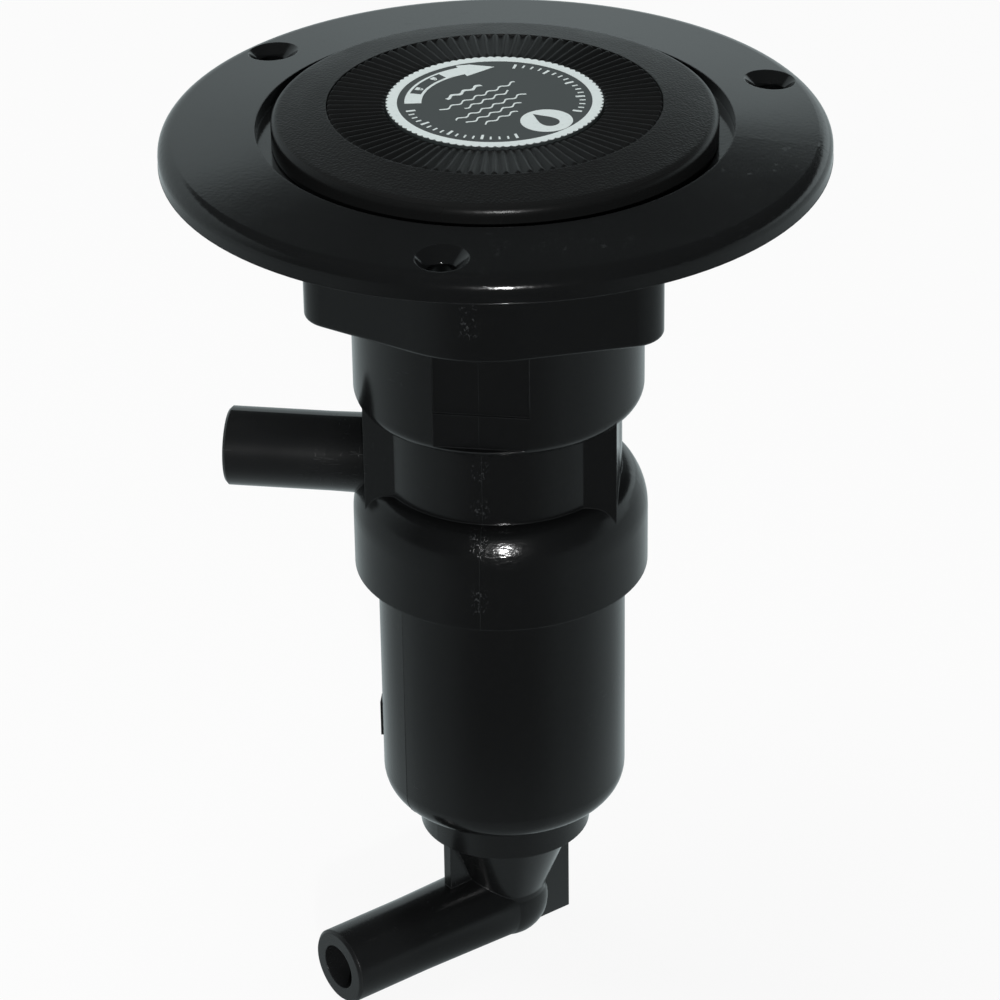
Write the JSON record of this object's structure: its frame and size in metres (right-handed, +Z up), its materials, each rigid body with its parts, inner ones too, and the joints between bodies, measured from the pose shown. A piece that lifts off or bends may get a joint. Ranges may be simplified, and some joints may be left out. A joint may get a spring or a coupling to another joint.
{
  "type": "manual bilge pump",
  "caption": "Through-deck plunger pump worked by foot: round flange, push-down locking button, stepped barrel and cylinder with inlet and outlet hose tails.",
  "frame": {"origin": "centre of the three deck screws on the underside of the flange, which lies on the deck", "axes": "+Z up along the plunger, -Y to the front where one deck screw sits, -X along the outlet hose tail; the inlet tail points level between -X and -Y"},
  "size_m": [0.114, 0.114, 0.1695],
  "materials": {
    "black_gloss_plastic": "semi-gloss moulded, lightly scuffed",
    "black_matte_plastic": "matte, pebbled",
    "label_plastic": "satin printed disc",
    "white_plastic": "natural acetal, satin",
    "stainless_steel": "turned stainless",
    "spring_steel": "drawn stainless wire",
    "black_rubber": "matte moulded rubber"
  },
  "bodies": {
    "housing": {"deck_plate": "black_gloss_plastic", "pump_body": "black_gloss_plastic", "lower_cylinder": "black_gloss_plastic", "spring_seat": "white_plastic", "return_spring": "spring_steel", "rod_bush": "white_plastic", "rod_seal": "black_rubber", "seal_plate": "white_plastic", "neck_ring": "black_rubber", "cup_ring": "black_rubber", "inlet_valve_seat": "white_plastic", "inlet_valve_stem": "white_plastic", "body_screw_1": "stainless_steel", "body_screw_2": "stainless_steel", "body_screw_3": "stainless_steel", "body_screw_4": "stainless_steel"},
    "plunger": {"plunger_rod": "stainless_steel", "button_screw": "stainless_steel", "button_washer": "stainless_steel", "spring_clip": "stainless_steel", "spring_washer": "white_plastic", "piston": "white_plastic", "piston_seal": "black_rubber", "flap_stop": "stainless_steel", "piston_nut": "stainless_steel"},
    "button": {"foot_button": "black_matte_plastic", "label_disc": "label_plastic"},
    "transfer_valve": {"transfer_flap": "black_rubber"},
    "inlet_valve": {"inlet_flap": "black_rubber"}
  },
  "joints": [
    {"name": "plunger_slide", "type": "slide", "parent": "housing", "child": "plunger", "axis": [0, 0, 1], "range_m": [0, 0.03], "deforming": ["return_spring"]},
    {"name": "button_twist", "type": "hinge", "parent": "plunger", "child": "button", "pos_m": [0, 0, 0.003], "axis": [0, 0, 1], "range_deg": [-60, 0]},
    {"name": "transfer_valve_lift", "type": "slide", "parent": "plunger", "child": "transfer_valve", "axis": [0, 0, 1], "range_m": [0, 0.001]},
    {"name": "inlet_valve_lift", "type": "slide", "parent": "housing", "child": "inlet_valve", "axis": [0, 0, 1], "range_m": [0, 0.0012]}
  ]
}
